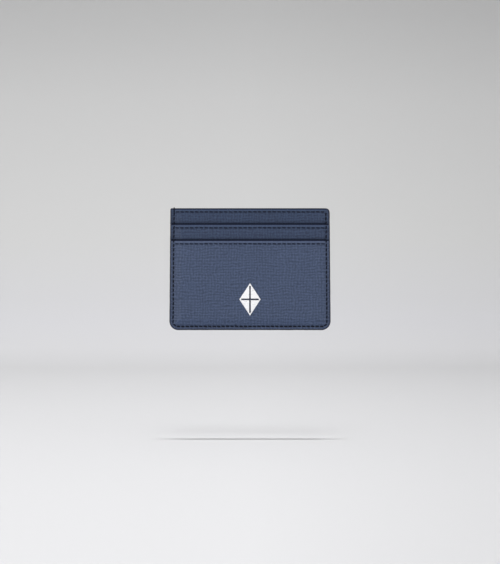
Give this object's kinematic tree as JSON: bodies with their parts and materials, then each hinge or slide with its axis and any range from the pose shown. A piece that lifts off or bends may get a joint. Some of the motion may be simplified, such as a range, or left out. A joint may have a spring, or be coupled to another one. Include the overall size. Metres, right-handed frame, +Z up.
{
  "type": "card holder",
  "caption": "Flat upright leather card holder with stepped card slots on both sides, an open middle pocket, stitched edges and a small metal lozenge emblem.",
  "frame": {"origin": "middle of the bottom edge, on the plane between the two halves", "axes": "+X along the width, +Y from the front face to the back face, +Z up towards the pocket mouths"},
  "size_m": [0.1006, 0.0094, 0.076],
  "materials": {
    "leather": "fine wavy grain, semi-matte",
    "thread": "twisted polyester thread",
    "pocket_fabric": "fine twill",
    "card_board": "matte",
    "bonded_leather": "fibrous, matte",
    "edge_paint": "satin edge paint",
    "polished_metal": "polished",
    "enamel": "dark enamel",
    "steel": "brushed"
  },
  "bodies": {
    "root": {"front_leaf_lining": "pocket_fabric", "front_leaf_board": "card_board", "front_leaf_leather": "leather", "front_leaf_hem_thread": "thread", "front_inner_edge_filler": "bonded_leather", "front_upper_pocket_body": "pocket_fabric", "front_upper_pocket_base_tape": "pocket_fabric", "front_upper_pocket_tape": "pocket_fabric", "front_upper_pocket_leather": "leather", "front_upper_pocket_hem_thread": "thread", "front_upper_pocket_base_thread": "thread", "front_outer_edge_filler": "bonded_leather", "front_pocket_lining": "pocket_fabric", "front_pocket_stiffener": "card_board", "front_pocket_leather": "leather", "front_pocket_hem_thread": "thread", "front_seam_thread": "thread", "back_leaf_lining": "pocket_fabric", "back_leaf_board": "card_board", "back_leaf_leather": "leather", "back_leaf_hem_thread": "thread", "back_inner_edge_filler": "bonded_leather", "back_upper_pocket_body": "pocket_fabric", "back_upper_pocket_base_tape": "pocket_fabric", "back_upper_pocket_tape": "pocket_fabric", "back_upper_pocket_leather": "leather", "back_upper_pocket_hem_thread": "thread", "back_upper_pocket_base_thread": "thread", "back_outer_edge_filler": "bonded_leather", "back_pocket_lining": "pocket_fabric", "back_pocket_stiffener": "card_board", "back_pocket_leather": "leather", "back_pocket_hem_thread": "thread", "back_seam_thread": "thread", "edge_paint": "edge_paint", "emblem_plate": "polished_metal", "emblem_enamel": "enamel", "emblem_washer": "steel"}
  },
  "joints": []
}
